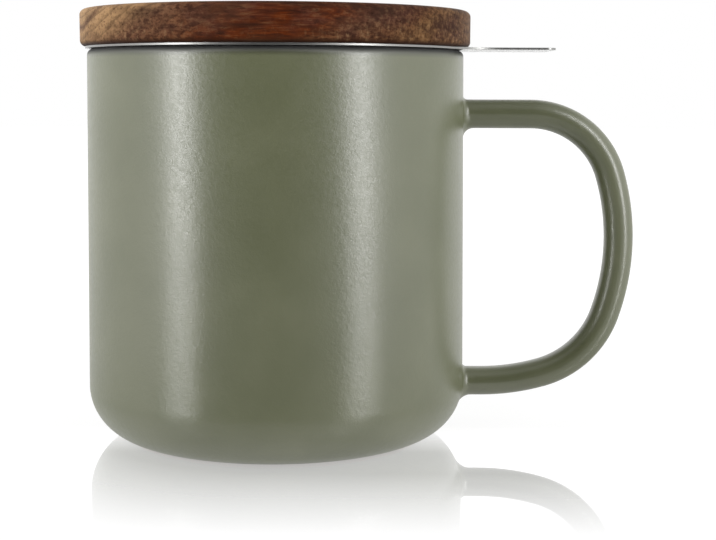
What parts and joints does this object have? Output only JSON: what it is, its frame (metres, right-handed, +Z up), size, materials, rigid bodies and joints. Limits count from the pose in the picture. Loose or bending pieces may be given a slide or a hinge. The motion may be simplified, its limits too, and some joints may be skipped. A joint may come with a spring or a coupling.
{
  "type": "lidded tea mug with infuser",
  "caption": "Straight-sided mug with a loop handle, a perforated basket hung from its rim by a flange with a finger tab, and a plain round lid that lifts off.",
  "frame": {"origin": "on the axis of the mug, in the plane of the foot ring that it stands on", "axes": "+Z up along the axis of the mug, +X towards the handle and the finger tab, the front of the picture's view towards -Y"},
  "size_m": [0.1336, 0.0932, 0.1027],
  "materials": {
    "glaze": "satin sage green glaze",
    "steel": "fine brushed stainless steel",
    "lid_wood": "oiled red-brown hardwood",
    "seal": "matt off-white silicone"
  },
  "bodies": {
    "mug": {"mug_body": "glaze", "mug_handle": "glaze"},
    "infuser": {"infuser_rim": "steel", "infuser_wall": "steel", "infuser_floor": "steel"},
    "lid": {"lid_disc": "lid_wood", "lid_seal": "seal"}
  },
  "joints": [
    {"name": "infuser_lift", "type": "slide", "parent": "mug", "child": "infuser", "axis": [0, 0, 1], "range_m": [0, 0.09]},
    {"name": "lid_lift", "type": "slide", "parent": "infuser", "child": "lid", "axis": [0, 0, 1], "range_m": [0, 0.04]}
  ]
}
